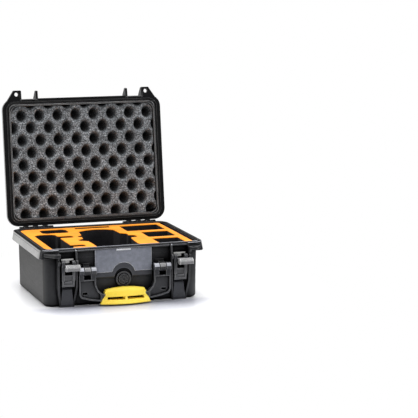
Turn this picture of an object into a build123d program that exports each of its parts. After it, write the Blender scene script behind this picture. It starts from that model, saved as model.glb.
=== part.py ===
from build123d import *
import math
import os

# Hard carrying case for a drone kit, standing with its lid open.
# Millimetres. Origin: centre of the base's footprint, on the floor.
# X to the right, Y to the back (hinge side), Z up.
# Names ending in HALF are (half width, half depth); ranges are (low, high).

os.makedirs("parts", exist_ok=True)

# ---------------------------------------------------------- driving dimensions
# base shell
BODY_FLOOR_HALF = (144.6, 109.5)
BODY_TOP_HALF = (145.5, 111.0)
BODY_TOP_Z = 94.0
BODY_R = 19.0
CAVITY_FLOOR_HALF = (141.8, 106.5)
CAVITY_RIM_HALF = (142.3, 108.0)
CAVITY_R = 15.0
FLOOR_Z = 4.5             # inside floor
RIM_Z = 106.0             # top of the base's rim

# flange round the rim: a sloping band under a stepped-in ledge
FLANGE_X, FLANGE_Y = 156.0, 122.0   # half sizes
FLANGE_R = 22.0
BAND_Z = 88.6             # underside of the band
BAND_FOOT = 1.5           # upright part of the band's face
BAND_SLOPE = 1.8          # lean of the face above that
BAND_END_Y = -112.0       # the side bands stop here, short of the front corners
LEDGE_Z = 101.6
LEDGE_INSET = 2.5

# lid, as shut
LID_RIM = RIM_Z + 0.3
LID_FLANGE_X = FLANGE_X + 1.6   # overhangs the base a little at the sides
LID_BAND = 11.4           # depth of the lid's flange band
LID_TOP = 147.0
LID_ROOF = 143.5          # underside of the roof
LID_FACE_INSET = 5.2      # rim face, inset from the flange edge
LID_OPEN = 98.0           # degrees between shut and the open stop

# seal line, inset from the flange edge
SEAL_INSET = 9.0
SEAL_X = FLANGE_X - SEAL_INSET
SEAL_Y = FLANGE_Y - SEAL_INSET
SEAL_R = FLANGE_R - SEAL_INSET

# pins
RUNNING_GAP = 0.05        # radial clearance on every moving pin
HINGE_PIN_R = 1.6
LEVER_PIN_R = 1.6
CLAW_PIN_R = 1.5
CATCH_R = 1.4
HANDLE_PIN_R = 2.5

# hinges: seven knuckles each, alternately on the base and the lid
HINGE_Y, HINGE_Z = 126.5, 104.5
HINGE_X0, HINGE_X1 = 70.0, 136.0
HINGE_R = 3.7
HINGE_GAP = 0.4
HINGE_COUNT = 7
HINGE_STEP = (HINGE_X1 - HINGE_X0 + HINGE_GAP) / HINGE_COUNT
HINGE_PIN_X0 = HINGE_X0 + 2.0
HINGE_SPANS = [
    (HINGE_X0 + k * HINGE_STEP, HINGE_X0 + (k + 1) * HINGE_STEP - HINGE_GAP)
    for k in range(HINGE_COUNT)
]

# The front hardware is drawn in a frame of its own; this puts it on the wall.
FRONT_DY, FRONT_DZ = -3.0, 2.0

# latches (right-hand one; the left is its mirror image)
BAY_X = 105.5             # centre of the latch
INNER_RIB = (88.0, 91.0)
OUTER_RIB = (121.5, 124.5)
INNER_FIN = (87.2, 91.8)  # fins on the lid, either side of the latch
OUTER_FIN = (119.6, 122.8)
LEVER_Y, LEVER_Z = -121.5, 80.5
CLAW_Y, CLAW_Z = -119.5, 73.0       # pivot carried by the lever
CLAW_TILT = 4.0           # the open claw points this many degrees above level
EAR = (7.2, 12.2)         # lever ears, out from the latch centre
CATCH_X = (89.0, 121.6)
CATCH_Y, CATCH_Z = -120.0, 108.4

# padlock eyes
PADLOCK_X, PADLOCK_Y, PADLOCK_R = 129.0, -130.4, 3.8

# handle
HANDLE_Y, HANDLE_Z = -120.0, 63.0   # pivot
KNUCKLE_R = 8.0
BRACKET_X = (65.6, 75.9)
BRACKET_GAP = 1.5
ARM_SLOT = (BRACKET_X[0] - BRACKET_GAP, BRACKET_X[1] + BRACKET_GAP)

# block, name panel and valve in the middle of the front
BLOCK_X = 54.0            # half width
BLOCK_FACE_Y = -111.0
PANEL_FACE_Y = BLOCK_FACE_Y - 1.2
ARCH_Z, ARCH_R = 51.6, 22.0         # arch cut in the panel
RECESS_Z, RECESS_R = 46.5, 17.0     # recess the valve sits in
VALVE_Z = 43.2
VALVE_SEAT_Y = -107.0
NUT_Y = -103.8

# foam inlay
FOAM_TOP = 104.8
SHEET_Z = 103.6           # underside of the top sheet
SHEET_RIGHT = 137.2       # the sheet stops short of the right wall
FOAM_R = CAVITY_R - 0.3
FOAM_TOP_HALF = (CAVITY_RIM_HALF[0] - 0.4, CAVITY_RIM_HALF[1] - 0.5)


# --------------------------------------------------------------------- helpers
def rounded_block(half_x, half_y, radius, z0, z1):
    return extrude(Pos(0, 0, z0) * RectangleRounded(2 * half_x, 2 * half_y, radius), z1 - z0)


def tapered_block(low_half, z0, high_half, z1, radius):
    low = Pos(0, 0, z0) * RectangleRounded(2 * low_half[0], 2 * low_half[1], radius)
    high = Pos(0, 0, z1) * RectangleRounded(2 * high_half[0], 2 * high_half[1], radius)
    return loft([low, high])


def box(x0, x1, y0, y1, z0, z1):
    centre = Pos((x0 + x1) / 2, (y0 + y1) / 2, (z0 + z1) / 2)
    return centre * Box(x1 - x0, y1 - y0, z1 - z0)


def extrude_yz(points, x0, x1):
    plane = Plane(origin=(x0, 0, 0), x_dir=(0, 1, 0), z_dir=(1, 0, 0))
    return extrude(plane * Polygon(*points, align=None), x1 - x0, dir=(1, 0, 0))


def extrude_xz(points, y0, y1):
    plane = Plane(origin=(0, y0, 0), x_dir=(1, 0, 0), z_dir=(0, -1, 0))
    return extrude(plane * Polygon(*points, align=None), y1 - y0, dir=(0, 1, 0))


def extrude_xy(points, z0, z1):
    return extrude(Pos(0, 0, z0) * Polygon(*points, align=None), z1 - z0, dir=(0, 0, 1))


def rod_x(radius, x0, x1, y, z):
    return Pos((x0 + x1) / 2, y, z) * Rot(0, 90, 0) * Cylinder(radius, x1 - x0)


def rod_y(radius, y0, y1, x, z):
    return Pos(x, (y0 + y1) / 2, z) * Rot(90, 0, 0) * Cylinder(radius, y1 - y0)


def rod_z(radius, z0, z1, x, y):
    return Pos(x, y, (z0 + z1) / 2) * Cylinder(radius, z1 - z0)


def end_edges(part, axis, end):
    """Edges of the first (0) or last (-1) face along an axis."""
    return part.faces().sort_by(axis)[end].edges()


def largest(part):
    return part.solids().sort_by(SortBy.VOLUME)[-1]


def union(parts):
    total = parts[0]
    for part in parts[1:]:
        total = total + part
    return total


def mirrored(part):
    return mirror(part, about=Plane.YZ)


def both_sides(part):
    return part + mirrored(part)


def on_front(part):
    return Pos(0, FRONT_DY, FRONT_DZ) * part


def open_lid(part):
    return part.rotate(Axis((0, HINGE_Y, HINGE_Z), (1, 0, 0)), -LID_OPEN)


def seal_track(half_width, z0, z1):
    """Closed strip along the seal line."""
    outer = rounded_block(SEAL_X + half_width, SEAL_Y + half_width, SEAL_R + half_width, z0, z1)
    return outer - rounded_block(
        SEAL_X - half_width, SEAL_Y - half_width, SEAL_R - half_width, z0 - 1, z1 + 1
    )


def hinge_knuckles(spans, web_side):
    """Knuckles over the given X spans, each with a web of the given YZ outline."""
    return union([
        rod_x(HINGE_R, x0, x1, HINGE_Y, HINGE_Z) + extrude_yz(web_side, x0, x1)
        for x0, x1 in spans
    ])


def bay_span(half_width):
    """X range centred on the right latch."""
    return BAY_X - half_width, BAY_X + half_width


def save(name, *parts):
    solids = []
    for part in parts:
        solids += list(part.solids())
    out = Compound(children=solids) if len(solids) > 1 else solids[0]
    out.label = name
    export_step(out, "parts/%s.step" % name)


def save_pair(name, *parts):
    """Save right-hand parts and their left-hand mirror images."""
    save("right_" + name, *parts)
    save("left_" + name, *[mirrored(part) for part in parts])


# ------------------------------------------------------------------ base shell
# (y, z) outline of the front block, bevelled at its foot
BLOCK_SIDE = [
    (-105.5, 100.0), (-111.0, 99.4), (BLOCK_FACE_Y, 48.6), (-109.6, 46.0), (-105.5, 45.4),
]

# handle bracket: (y, z) side and (x, y) plan of its tapering boss
BRACKET_SIDE = [
    (-105.5, 74.0), (-113.5, 72.5), (-120.0, 70.5), (-120.0, 55.6), (-105.5, 54.0),
]
BRACKET_PLAN = [
    (57.5, -105.5), (84.0, -105.5), (BRACKET_X[1], -111.6), (BRACKET_X[0], -111.6),
]

# latch ribs: (y, z) sides over a common foot, and (x, z) fronts
RIB_FOOT = [
    (-121.8, 60.0), (-120.4, 36.0), (-115.0, 16.0), (-111.8, 6.0), (-111.2, -2.0),
    (-105.0, -2.0),
]
INNER_RIB_SIDE = [(-105.0, 103.8), (-115.6, 103.8), (-117.8, 101.0), (-121.0, 88.0)] + RIB_FOOT
OUTER_RIB_SIDE = [(-105.0, 98.0), (-114.5, 98.0), (-119.0, 94.0), (-121.0, 86.0)] + RIB_FOOT
INNER_RIB_FRONT = [
    (88.0, 104.0), (91.0, 104.0), (91.0, 36.0), (95.6, -2.0), (92.6, -2.0), (88.0, 36.0),
]
OUTER_RIB_FRONT = [
    (121.5, 98.0), (124.5, 98.0), (124.5, 36.0), (119.6, -2.0), (116.6, -2.0), (121.5, 36.0),
]

# raised lower plate between the ribs: (x, z) front and (y, z) side
RAMP_FRONT = [(97.0, 33.5), (114.0, 33.5), (117.5, 3.0), (94.5, 3.0)]
RAMP_SIDE = [(-105.0, 33.5), (-108.2, 33.5), (-111.0, 29.5), (-112.8, 3.0), (-105.0, 3.0)]
KEEPER_STEM_SIDE = [(-105.0, 79.2), (-114.4, 79.2), (-114.8, 84.5), (-105.0, 84.5)]

# padlock web on the front corner: (x, y) plan and (y, z) gusset
PADLOCK_PLAN = [
    (121.5, -115.0), (121.5, -134.5), (123.5, -136.5), (134.0, -136.5),
    (147.5, -117.0), (147.5, -109.0), (121.5, -109.0),
]
PADLOCK_GUSSET = [(-109.0, 95.0), (-109.0, 70.0), (-133.0, 95.0)]

# (y, z) outlines under the base's hinge knuckles
BASE_KNUCKLE_WEB = [
    (118.0, 92.0), (124.5, 95.0), (HINGE_Y + HINGE_R, HINGE_Z),
    (HINGE_Y - HINGE_R, HINGE_Z), (121.8, 100.5), (118.0, 100.5),
]
HINGE_GUSSET = [(109.0, 34.0), (109.0, 92.0), (121.4, 92.0), (121.4, 87.0)]
GUSSET_WIDTH = 3.0


def tub_body():
    tub = tapered_block(BODY_FLOOR_HALF, 0.0, BODY_TOP_HALF, BODY_TOP_Z, BODY_R)
    return fillet(end_edges(tub, Axis.Z, 0), 6.0)


def flange_band():
    foot_top = BAND_Z + BAND_FOOT
    band = tapered_block(
        (FLANGE_X, FLANGE_Y), foot_top,
        (FLANGE_X - BAND_SLOPE, FLANGE_Y - BAND_SLOPE), LEDGE_Z, FLANGE_R,
    )
    band += rounded_block(FLANGE_X, FLANGE_Y, FLANGE_R, BAND_Z, foot_top)
    band = chamfer(end_edges(band, Axis.Z, 0), 1.2)
    # it runs round the back and sides only; the front is open for the latches
    band -= box(-160, 160, -130, BAND_END_Y, 80, LEDGE_Z + 0.01)
    band -= box(-OUTER_RIB[0], OUTER_RIB[0], -130, -111.2, 80, LEDGE_Z + 0.01)
    return band


def rim_ledge():
    ledge = rounded_block(
        FLANGE_X - LEDGE_INSET, FLANGE_Y - LEDGE_INSET, FLANGE_R - LEDGE_INSET,
        LEDGE_Z - 0.5, RIM_Z,
    )
    ledge = chamfer(end_edges(ledge, Axis.Z, -1), 0.7)
    # along the front it is a recessed face over a narrow bead
    ledge -= box(-88, 88, -128, -118.2, 90, 110) + box(
        -OUTER_RIB[0], OUTER_RIB[0], -128, -116.2, 103.4, 110
    )
    ledge -= box(-BLOCK_X, BLOCK_X, -128, -114.0, 90, 102.2)
    ledge -= both_sides(box(INNER_RIB[1], OUTER_RIB[0], -128, -117.6, 90, 110))
    return ledge


def handle_bracket():
    bracket = rod_x(KNUCKLE_R, *BRACKET_X, HANDLE_Y, HANDLE_Z)
    bracket += extrude_yz(BRACKET_SIDE, *BRACKET_X)
    bracket += extrude_xy(BRACKET_PLAN, 54, 76)
    bracket -= rod_x(HANDLE_PIN_R, 60, 82, HANDLE_Y, HANDLE_Z)
    return bracket


def latch_bay():
    ribs = extrude_xz(INNER_RIB_FRONT, -130, -105) & extrude_yz(INNER_RIB_SIDE, 80, 130)
    ribs += extrude_xz(OUTER_RIB_FRONT, -130, -105) & extrude_yz(OUTER_RIB_SIDE, 80, 130)
    ramp = extrude_xz(RAMP_FRONT, -130, -105) & extrude_yz(RAMP_SIDE, 80, 130)
    ramp += box(92.8, 119.4, -112.0, -105.0, -2.0, 5.0)
    bay = ribs + ramp
    # bosses round the lever pins
    bay += rod_x(5.0, *INNER_RIB, LEVER_Y, LEVER_Z) + rod_x(5.0, *OUTER_RIB, LEVER_Y, LEVER_Z)
    # keeper block above the lever: a wide bar on a narrow stem
    bay += box(*bay_span(11.2), -115.2, -105.0, 84.2, 87.0)
    bay += extrude_yz(KEEPER_STEM_SIDE, *bay_span(3.7))
    bay -= rod_x(LEVER_PIN_R, 85, 127, LEVER_Y, LEVER_Z)
    return bay


def base_padlock_web():
    web = extrude_xy(PADLOCK_PLAN, 94.5, 100.0)
    web += extrude_yz(PADLOCK_GUSSET, *OUTER_RIB)
    web -= rod_z(PADLOCK_R, 80, 110, PADLOCK_X, PADLOCK_Y)
    return web


def base_hinge():
    hinge = hinge_knuckles(HINGE_SPANS[0::2], BASE_KNUCKLE_WEB)
    for x in (HINGE_X0 + 1.0, 102.0, HINGE_X1 - 4.0):
        hinge += extrude_yz(HINGE_GUSSET, x, x + GUSSET_WIDTH)
    hinge -= rod_x(HINGE_PIN_R, HINGE_PIN_X0, HINGE_X1 + 1.0, HINGE_Y, HINGE_Z)
    return hinge


def base_cavity():
    cavity = tapered_block(CAVITY_FLOOR_HALF, FLOOR_Z, CAVITY_RIM_HALF, RIM_Z + 0.2, CAVITY_R)
    return fillet(end_edges(cavity, Axis.Z, 0), 6.0)


def base_shell():
    base = tub_body() + flange_band() + rim_ledge()
    base += on_front(extrude_yz(BLOCK_SIDE, -BLOCK_X, BLOCK_X))
    base -= on_front(rod_y(RECESS_R, -115, VALVE_SEAT_Y, 0, RECESS_Z))
    base -= on_front(rod_y(15.2, -115, VALVE_SEAT_Y, 0, VALVE_Z))
    base += both_sides(on_front(handle_bracket()))
    base += both_sides(on_front(latch_bay()))
    base += both_sides(base_padlock_web())
    base += both_sides(base_hinge())
    base -= base_cavity()
    # seal tongue, then the valve hole
    base += seal_track(1.1, RIM_Z - 0.3, RIM_Z + 1.1)
    base -= on_front(rod_y(8.2, -112, -100, 0, VALVE_Z))
    return largest(base)


save("base_shell", base_shell())

# ------------------------------------------------------------------ foam inlay
# (x, y) outlines of the shaped pockets
DRONE_PLAN = [
    (-45, -101.5), (41.5, -101.5), (35.5, -89.5), (36.5, -62),
    (38.5, -36), (40.5, -29.5), (49, -28.5), (54, -23.5), (55.5, -15.5), (54, -7.5),
    (48.5, -3.5), (42, -2), (43.7, 1.5), (44, 14.5), (33.5, 23.5), (32.5, 44),
    (31.5, 61), (25.5, 66.5), (17, 72), (7, 75), (-3.5, 76), (-14.5, 74), (-24.5, 70),
    (-33, 64.5), (-38, 59), (-40, 38.5), (-42, 22.5), (-50.5, 15.5), (-52.5, 10.5),
    (-51, 5.5), (-47, 0.5), (-47.5, -10.5), (-52.5, -16.5), (-59, -20), (-61, -26.5),
    (-59, -35), (-51.5, -39), (-46, -43), (-45, -64.5),
]
REMOTE_PLAN = [
    (-128, -103.5), (-87, -103.5), (-87, -88.5), (-64, -88.5), (-61.5, -85),
    (-61.5, -74), (-64, -70.5), (-87, -70.5), (-87, 4), (-63, 4), (-60, 7.5),
    (-60, 20), (-63, 23.5), (-87, 23.5), (-87.5, 40.5), (-92.5, 46), (-100.5, 49),
    (-114.5, 49), (-122, 46), (-128, 40.5),
]
# x0, x1, y0, y1 of the straight-sided pockets
CABLE_RECT = (-107.0, -55.0, 56.0, 96.0)
CARD_RECT = (-35.5, 33.5, 87.0, 103.0)
BATTERY_RECTS = [
    (52.0, 127.5, 35.0, 94.0),
    (73.0, 126.0, -36.0, 19.5),
    (73.0, 123.5, -103.5, -52.5),
]
CABLE_R, BATTERY_R = 10.0, 2.5
DRONE_FLOOR, REMOTE_FLOOR, CABLE_FLOOR = 28.0, 38.0, 48.0
CARD_FLOOR, BATTERY_FLOOR = 62.0, 34.0
POCKET_TOP = FOAM_TOP + 5


def rounded_pocket(rect, radius, floor):
    x0, x1, y0, y1 = rect
    outline = RectangleRounded(x1 - x0, y1 - y0, radius)
    return extrude(Pos((x0 + x1) / 2, (y0 + y1) / 2, floor) * outline, POCKET_TOP - floor)


def pockets():
    """Every cut-out of the kit, from its own floor up past the foam."""
    cut = extrude_xy(DRONE_PLAN, DRONE_FLOOR, POCKET_TOP)
    cut = cut + extrude_xy(REMOTE_PLAN, REMOTE_FLOOR, POCKET_TOP)
    cut += rounded_pocket(CABLE_RECT, CABLE_R, CABLE_FLOOR)
    cut += box(*CARD_RECT, CARD_FLOOR, POCKET_TOP)
    for rect in BATTERY_RECTS:
        cut += rounded_pocket(rect, BATTERY_R, BATTERY_FLOOR)
    return cut


def foam_core():
    foot_half = (CAVITY_FLOOR_HALF[0] - 0.4, CAVITY_FLOOR_HALF[1] - 0.4)
    core = tapered_block(foot_half, FLOOR_Z + 0.2, FOAM_TOP_HALF, SHEET_Z, FOAM_R)
    core = fillet(end_edges(core, Axis.Z, 0), 7.0)
    core -= pockets()
    # room for the valve nut
    core -= on_front(box(-16, 16, -110, -100.1, VALVE_Z - 16, VALVE_Z + 16))
    return core


def foam_top_sheet():
    sheet = rounded_block(*FOAM_TOP_HALF, FOAM_R, SHEET_Z, FOAM_TOP)
    sheet -= box(SHEET_RIGHT, 150, -115, 115, SHEET_Z - 1, FOAM_TOP + 1)
    sheet -= pockets()
    return sheet


save("foam_core", foam_core())
save("foam_top_sheet", foam_top_sheet())


# ------------------------------------------------------- name panel and badge
def name_panel():
    panel = box(-53.2, 53.2, PANEL_FACE_Y, BLOCK_FACE_Y, 57.0, 100.0)
    panel -= rod_y(ARCH_R, -115, -105, 0, ARCH_Z)
    return chamfer(end_edges(panel, Axis.Y, 0), 0.45)


save("name_panel", on_front(name_panel()))
save("badge_bar", on_front(box(-13.5, 13.5, PANEL_FACE_Y - 0.8, PANEL_FACE_Y, 96.2, 99.4)))

# ----------------------------------------------------------------------- valve
# Y offsets below are from the seat: negative is out of the case.
CAP_DIMPLES = 6
CAP_DIMPLE_RING = 6.6


def valve_disc(radius, dy0, dy1):
    return rod_y(radius, VALVE_SEAT_Y + dy0, VALVE_SEAT_Y + dy1, 0, VALVE_Z)


def valve_hexagon(radius, y, depth):
    plane = Plane(origin=(0, y, VALVE_Z), x_dir=(1, 0, 0), z_dir=(0, -1, 0))
    return extrude(plane * RegularPolygon(radius, 6), depth, dir=(0, 1, 0))


def valve_body():
    body = valve_disc(14.0, -3.5, 0)
    # raised collar, then the stem through the wall
    body += valve_disc(14.0, -5.3, -3.4) - valve_disc(11.4, -6, -3.4)
    body += valve_disc(8.0, -1, 6.1)
    # bore, membrane seat and seal groove
    body -= valve_disc(5.0, -10, 9)
    body -= valve_disc(7.2, -4, -2.2)
    body -= valve_disc(12.1, -1.9, 0.1) - valve_disc(9.9, -2.5, 1)
    return body


def valve_cap():
    cap = valve_disc(9.6, -6.4, -3.5)
    cap = fillet(end_edges(cap, Axis.Y, 0), 0.8)
    for k in range(CAP_DIMPLES):
        angle = math.radians(360 / CAP_DIMPLES * k + 30)
        cap -= rod_y(
            1.5, VALVE_SEAT_Y - 7, VALVE_SEAT_Y - 4.6,
            CAP_DIMPLE_RING * math.cos(angle), VALVE_Z + CAP_DIMPLE_RING * math.sin(angle),
        )
    cap -= valve_hexagon(3.0, VALVE_SEAT_Y - 7, 2.0)
    return cap


def valve_seal():
    return Pos(0, VALVE_SEAT_Y - 0.95, VALVE_Z) * Rot(90, 0, 0) * Torus(11.0, 0.94)


def valve_nut():
    return valve_hexagon(13.5, NUT_Y, 2.5) - rod_y(8.0, -105, -98, 0, VALVE_Z)


save("valve_body", on_front(valve_body()))
save("valve_cap", on_front(valve_cap()))
save("valve_membrane", on_front(valve_disc(7.0, -2.7, -2.2)))
save("valve_seal", on_front(valve_seal()))
save("valve_nut", on_front(valve_nut()))

# ---------------------------------------------------------------------- handle
# (x, z) outlines of an arm and of the channel in its front
ARM_FRONT = [
    (55.0, 63.0), (86.0, 63.0), (86.0, 20.5), (82.5, 14.5), (68.0, 10.2), (50.0, 7.2),
    (44.0, 7.0), (38.0, 14.5), (38.0, 20.0), (42.0, 19.2), (51.3, 27.8), (55.0, 38.0),
]
ARM_CHANNEL = [
    (57.4, 46.0), (83.6, 46.0), (83.6, 22.0), (80.5, 16.8), (67.0, 12.8), (49.5, 9.8),
    (46.5, 9.8), (46.5, 19.4), (53.4, 26.6), (57.4, 37.2),
]
# (x, z) outline of the bar that joins the arms inside the grip
CROSS_BAR = [(-44, 15.6), (44, 15.6), (44, 18.5), (36, 24.0), (-36, 24.0), (-44, 18.5)]
# grip: (x, z) front, (y, z) side, (x, z) window right of the middle
GRIP_FRONT = [
    (-47.5, 1.0), (47.5, 1.0), (37.2, 26.2), (28, 28.6), (14, 30.0), (-14, 30.0),
    (-28, 28.6), (-37.2, 26.2),
]
GRIP_SIDE = [
    (-114.2, 31.0), (-121.6, 31.0), (-124.6, 28.0), (-126.8, 24.0), (-128.8, 16.0),
    (-131.5, 8.0), (-134.8, 2.4), (-133.6, 1.0), (-120.5, 1.0), (-117.0, 8.0),
    (-114.6, 17.0),
]
GRIP_WINDOW = [(2.6, 8.6), (33.6, 8.6), (35.2, 13.8), (2.6, 13.8)]
GRIP_BOW_R = 127.0        # radius of the grip's bowed front, in plan
GRIP_BOW_FRONT = -135.0


def handle_arm():
    arm = extrude_xz(ARM_FRONT, -124.0, -116.2)
    corner_edges = (
        arm.edges()
        .filter_by(Axis.Y)
        .filter_by_position(Axis.X, 80, 90)
        .filter_by_position(Axis.Z, 12, 22)
    )
    arm = fillet(corner_edges, 2.5)
    arm -= extrude_xz(ARM_CHANNEL, -125.0, -118.6)
    # clearance for the bracket, and a hole low in the channel
    arm -= box(*ARM_SLOT, -130, -110, 48.0, 75)
    arm -= box(69.6, 78.6, -130, -110, 19.4, 24.0)
    arm += rod_x(KNUCKLE_R, 54.6, ARM_SLOT[0], HANDLE_Y, HANDLE_Z) + rod_x(
        KNUCKLE_R, ARM_SLOT[1], 86.0, HANDLE_Y, HANDLE_Z
    )
    arm -= rod_x(HANDLE_PIN_R + RUNNING_GAP, 50, 90, HANDLE_Y, HANDLE_Z)
    return arm


def handle_frame():
    return largest(both_sides(handle_arm()) + extrude_xz(CROSS_BAR, -122.0, -117.5))


def handle_grip(frame):
    grip = extrude_xz(GRIP_FRONT, -140, -110)
    grip = grip & extrude_yz(GRIP_SIDE, -60, 60)
    grip = grip & rod_z(GRIP_BOW_R, -5, 40, 0, GRIP_BOW_FRONT + GRIP_BOW_R)
    grip -= both_sides(extrude_xz(GRIP_WINDOW, -145, -105))
    grip -= frame
    return largest(grip)


handle = handle_frame()
save("handle_frame", on_front(handle))
save("handle_grip", on_front(handle_grip(handle)))
save_pair("handle_pin", on_front(rod_x(HANDLE_PIN_R, 55.0, 85.6, HANDLE_Y, HANDLE_Z)))

# --------------------------------------------------------------------- latches
# lever, (y, z): ear, finger plate, recess in the plate, bar across the recess
EAR_SIDE = [
    (LEVER_Y + 1.0, LEVER_Z + 4.0), (LEVER_Y + 4.0, LEVER_Z), (CLAW_Y + 4.2, CLAW_Z),
    (CLAW_Y + 3.0, 67.0), (-119.0, 58.0), (-118.6, 48.0), (-123.0, 48.0),
    (-124.2, 60.0), (CLAW_Y - 4.4, CLAW_Z), (LEVER_Y - 4.0, LEVER_Z),
]
FINGER_PLATE = [
    (-123.2, 58.5), (-122.4, 48.0), (-120.6, 37.0), (-117.4, 37.0), (-119.0, 48.0),
    (-119.4, 58.5),
]
FINGER_RECESS = [
    (-125.0, 55.5), (-122.0, 55.5), (-121.4, 48.0), (-120.0, 40.6), (-125.0, 40.6),
]
FINGER_BAR = [(-122.9, 47.2), (-122.3, 44.6), (-120.6, 44.6), (-121.2, 47.2)]
# claw, before its tilt: (outward, up) from the claw pivot
CLAW_ARM = [
    (0, 4), (6, 3.6), (14, 3.2), (28, 2.6), (34, 2.4), (38, -2.0), (34, -3.4), (0, -4),
]
CLAW_HEAD = [
    (29.0, 2.6), (34.8, 2.4), (34.9, 7.2), (36.2, 7.4), (40.6, 2.6),
    (41.0, 0.8), (39.8, -2.6), (38.0, -3.8), (29.0, -3.5),
]
CLAW_HALF_WIDTH = 6.5
GROOVE_START = (36.2, 7.4)          # top of the head's sloping end
GROOVE_SLOPE = (0.676, -0.737)      # direction down that slope


def latch_lever():
    ears = []
    for x0, x1 in ((BAY_X - EAR[1], BAY_X - EAR[0]), (BAY_X + EAR[0], BAY_X + EAR[1])):
        ear = extrude_yz(EAR_SIDE, x0, x1)
        ear += rod_x(4.2, x0, x1, LEVER_Y, LEVER_Z)
        ear += rod_x(4.4, x0, x1, CLAW_Y, CLAW_Z)
        ears.append(ear)
    lever = union(ears)
    plate = extrude_yz(FINGER_PLATE, *bay_span(11.4))
    plate -= extrude_yz(FINGER_RECESS, *bay_span(8.8))
    plate += extrude_yz(FINGER_BAR, *bay_span(6.0))
    lever += plate
    lever -= rod_x(LEVER_PIN_R + RUNNING_GAP, *bay_span(20), LEVER_Y, LEVER_Z)
    lever -= rod_x(CLAW_PIN_R, *bay_span(20), CLAW_Y, CLAW_Z)
    return lever


def claw_slab(offsets, half_width):
    points = [(CLAW_Y - outward, CLAW_Z + up) for outward, up in offsets]
    return extrude_yz(points, *bay_span(half_width))


def latch_claw():
    claw = claw_slab(CLAW_ARM, CLAW_HALF_WIDTH)
    claw += rod_x(4.0, *bay_span(CLAW_HALF_WIDTH), CLAW_Y, CLAW_Z)
    head = claw_slab(CLAW_HEAD, 12.6)
    # grooves across the sloping end
    for distance in (1.5, 3.6, 5.7):
        outward = GROOVE_START[0] + distance * GROOVE_SLOPE[0]
        up = GROOVE_START[1] + distance * GROOVE_SLOPE[1]
        place = Pos(BAY_X, CLAW_Y - outward, CLAW_Z + up) * Rot(47.5, 0, 0)
        head -= place * Box(22.4, 0.9, 1.0)
    # pocket under the finger end
    head -= box(*bay_span(10.2), CLAW_Y - 36.8, CLAW_Y - 30.0, CLAW_Z - 5, CLAW_Z - 1.6)
    claw += head
    # recess along the top of the arm
    claw -= box(*bay_span(4.0), CLAW_Y - 27.0, CLAW_Y - 9.0, CLAW_Z + 1.2, CLAW_Z + 8)
    claw -= rod_x(CLAW_PIN_R + RUNNING_GAP, *bay_span(20), CLAW_Y, CLAW_Z)
    return largest(claw).rotate(Axis((0, CLAW_Y, CLAW_Z), (1, 0, 0)), -CLAW_TILT)


def lever_pins():
    """Two stub pins, one from each rib into its ear."""
    stub_start = EAR[0] + 0.4
    return [
        on_front(rod_x(LEVER_PIN_R, INNER_RIB[0] + 0.2, BAY_X - stub_start, LEVER_Y, LEVER_Z)),
        on_front(rod_x(LEVER_PIN_R, BAY_X + stub_start, OUTER_RIB[1] - 0.2, LEVER_Y, LEVER_Z)),
    ]


save_pair("latch_lever", on_front(latch_lever()))
save_pair("latch_claw", on_front(latch_claw()))
save_pair("claw_pin", on_front(rod_x(CLAW_PIN_R, *bay_span(12.0), CLAW_Y, CLAW_Z)))
save_pair("lever_pins", *lever_pins())

# ------------------------------------------------------------------------- lid
# modelled shut, then swung open about the hinge line
FIN_SIDE = [  # (y, z)
    (-109.0, LID_RIM + 0.4), (-123.0, LID_RIM + 0.2), (-136.0, LID_RIM + 1.6),
    (-137.0, LID_RIM + 6.5), (-124.0, LID_RIM + 21.0), (-109.5, LID_RIM + 27.0),
]
LID_PADLOCK_PLAN = [  # (x, y)
    (119.6, -115.0), (119.6, -136.5), (121.2, -138.0), (134.5, -138.0),
    (148.0, -118.0), (148.0, -109.0), (119.6, -109.0),
]
LID_KNUCKLE_WEB = [  # (y, z)
    (119.0, LID_RIM + 2.4), (119.0, 116.0), (124.0, 114.6), (129.6, 108.6),
    (HINGE_Y + 2.6, HINGE_Z + 1.0), (HINGE_Y - 1.0, HINGE_Z + 2.4),
]


def lid_body():
    shell = tapered_block(BODY_TOP_HALF, LID_RIM, (143.2, 108.7), LID_TOP, BODY_R)
    shell = fillet(end_edges(shell, Axis.Z, -1), 8.0)
    band = rounded_block(LID_FLANGE_X, FLANGE_Y, FLANGE_R, LID_RIM + 1.1, LID_RIM + LID_BAND)
    band = fillet(end_edges(band, Axis.Z, -1), 3.5)
    face = rounded_block(
        FLANGE_X - LID_FACE_INSET, FLANGE_Y - LID_FACE_INSET, FLANGE_R - LID_FACE_INSET,
        LID_RIM, LID_RIM + 2.0,
    )
    face = chamfer(end_edges(face, Axis.Z, 0), 0.6)
    # open the flange between the latch fins
    bay_cut = both_sides(box(INNER_FIN[1], OUTER_FIN[0], -128, -116.5, 100, LID_RIM + 10.8))
    band -= bay_cut
    face -= bay_cut
    return shell + band + face


def roof_pressing():
    """Broad raised field on the roof, with a shallow blank panel in the middle."""
    roof = rounded_block(112, 81, 12, LID_TOP - 1.0, LID_TOP + 1.6)
    roof = chamfer(end_edges(roof, Axis.Z, -1), 1.2)
    roof -= rounded_block(62, 34, 8, LID_TOP + 0.6, LID_TOP + 4)
    return roof


def lid_hinge():
    hinge = hinge_knuckles(HINGE_SPANS[1::2], LID_KNUCKLE_WEB)
    hinge -= rod_x(HINGE_PIN_R + RUNNING_GAP, HINGE_X0 - 1, HINGE_X1 + 1, HINGE_Y, HINGE_Z)
    return hinge


def lid_cavity():
    cavity = tapered_block(CAVITY_RIM_HALF, LID_RIM - 0.2, (139.8, 105.8), LID_ROOF, CAVITY_R)
    return fillet(end_edges(cavity, Axis.Z, -1), 6.0)


def catch_bar():
    return rod_x(CATCH_R, *CATCH_X, CATCH_Y, CATCH_Z)


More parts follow.
